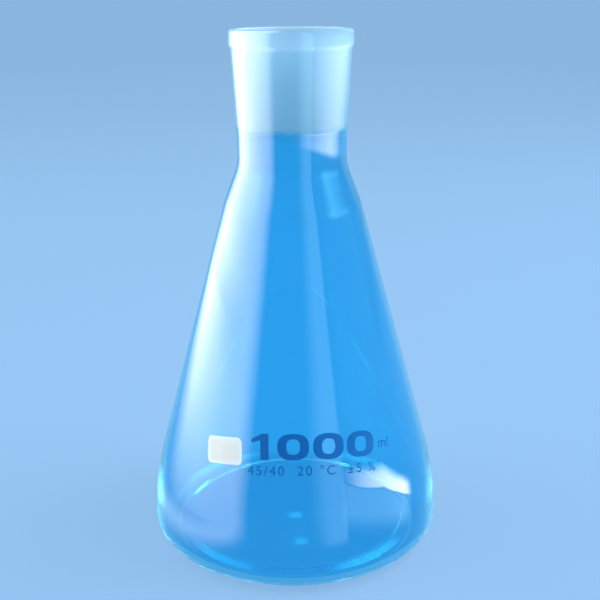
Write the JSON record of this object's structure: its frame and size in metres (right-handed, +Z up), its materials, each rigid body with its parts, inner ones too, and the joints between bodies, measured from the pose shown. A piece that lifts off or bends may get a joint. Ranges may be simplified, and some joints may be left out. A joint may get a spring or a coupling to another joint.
{
  "type": "conical flask",
  "caption": "Clear glass conical flask with a frosted standard-taper ground socket, thickened rim, pushed-up base and white enamel writing field, for mixing and keeping liquids.",
  "frame": {"origin": "on the flask's axis, at the plane that its foot ring stands on", "axes": "+Z up along the flask's axis, towards the mouth; the printed side faces -Y, and +X is to the right of someone who reads the print"},
  "size_m": [0.131, 0.131, 0.226],
  "materials": {
    "clear_glass": "blown borosilicate glass, fire polished, clear with a faint blue cast",
    "ground_glass": "borosilicate glass, clear outside, ground and frosted on the taper inside",
    "white_enamel": "white ceramic enamel, screen printed and fired, matt",
    "blue_enamel": "blue ceramic enamel, screen printed and fired, satin; on the printed figures"
  },
  "bodies": {
    "root": {"flask_body": "clear_glass", "ground_socket": "ground_glass", "marking_field": "white_enamel"}
  },
  "joints": []
}
